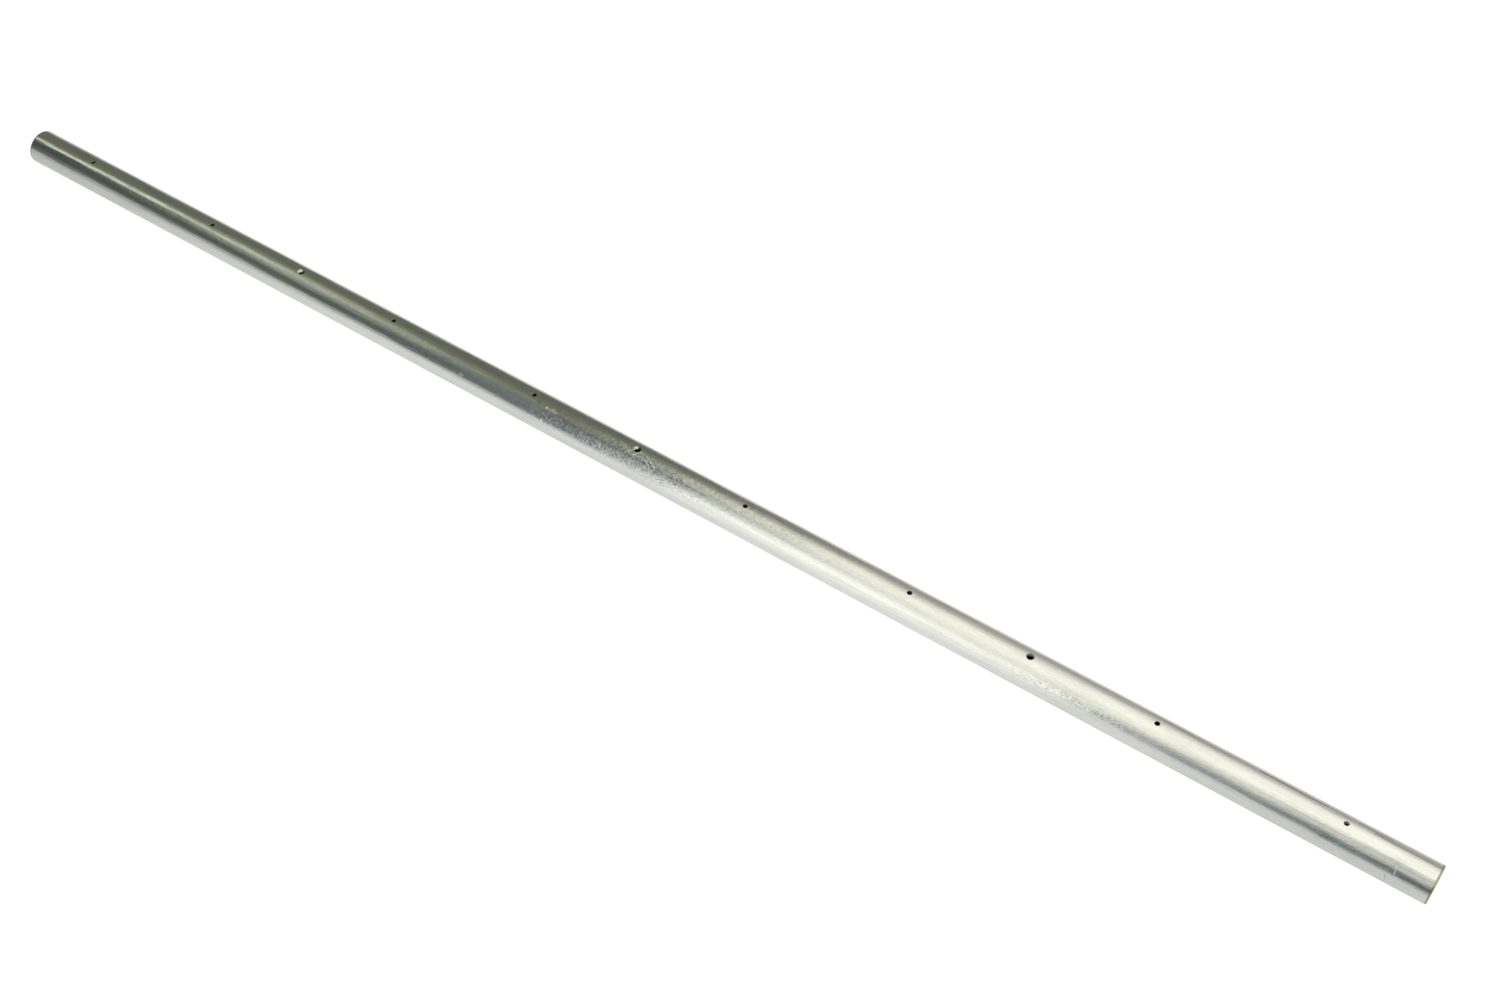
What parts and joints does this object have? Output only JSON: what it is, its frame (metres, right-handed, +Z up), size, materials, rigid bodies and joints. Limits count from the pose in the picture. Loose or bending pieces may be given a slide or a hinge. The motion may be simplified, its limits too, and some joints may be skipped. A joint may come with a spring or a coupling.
{
  "type": "camshaft oil tube",
  "caption": "Straight drawn aluminium tube, open at both ends, with a row of small oil holes through one side that spray the camshaft lobes and feed its bearings.",
  "frame": {"origin": "on the surface that the tube lies on, under the middle of its length", "axes": "+X along the tube, +Z up and the way that the oil holes face, +Y completes the set"},
  "size_m": [0.447, 0.01, 0.01],
  "materials": {
    "drawn_aluminium": "satin, drawn lengthwise, lightly scuffed"
  },
  "bodies": {
    "root": {"oil_tube": "drawn_aluminium"}
  },
  "joints": []
}
